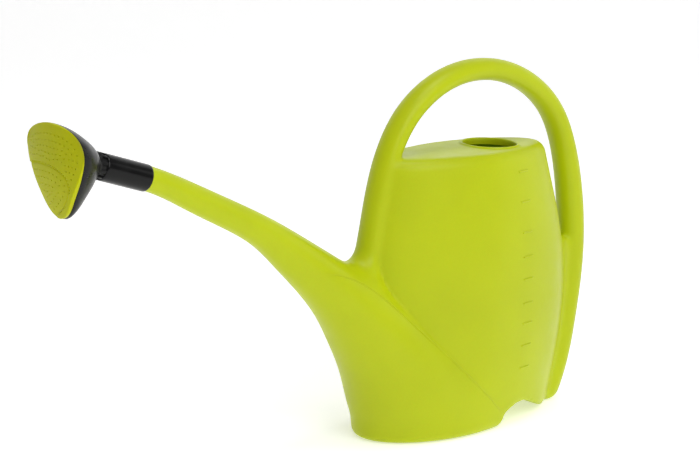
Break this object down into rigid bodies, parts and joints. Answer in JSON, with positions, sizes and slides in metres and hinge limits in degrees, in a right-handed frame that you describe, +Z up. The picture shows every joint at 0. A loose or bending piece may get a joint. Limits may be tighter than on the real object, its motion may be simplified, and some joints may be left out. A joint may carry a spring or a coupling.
{
  "type": "watering can",
  "caption": "Tall blow-moulded garden watering can with a horn spout, a loop handle, a top filling hole and a turning pull-off rose.",
  "frame": {"origin": "on the floor, under the middle of the base oval, in the mirror plane", "axes": "+Z up; the spout points along -X and the handle's rear leg is at +X"},
  "size_m": [0.723, 0.146, 0.4185],
  "materials": {
    "can_plastic": "satin lime polyethylene with a fine moulded grain",
    "sleeve_plastic": "polished black injection moulding",
    "shell_plastic": "semi-gloss black injection moulding",
    "face_plastic": "satin olive-lime injection moulding"
  },
  "bodies": {
    "can": {"can_spout": "can_plastic", "can_handle": "can_plastic", "can_rear_leg": "can_plastic", "can_base": "can_plastic", "can_wall": "can_plastic", "can_crown": "can_plastic"},
    "sleeve": {"rose_sleeve": "sleeve_plastic"},
    "rose": {"rose_shell": "shell_plastic", "rose_face": "face_plastic"}
  },
  "joints": [
    {"name": "rose_pull", "type": "slide", "parent": "can", "child": "sleeve", "axis": [-0.9478, 0, 0.319], "range_m": [0, 0.042]},
    {"name": "rose_turn", "type": "hinge", "parent": "sleeve", "child": "rose", "pos_m": [-0.43239, 0, 0.34795], "axis": [-0.9478, 0, 0.319], "range_deg": [-180, 180]}
  ]
}
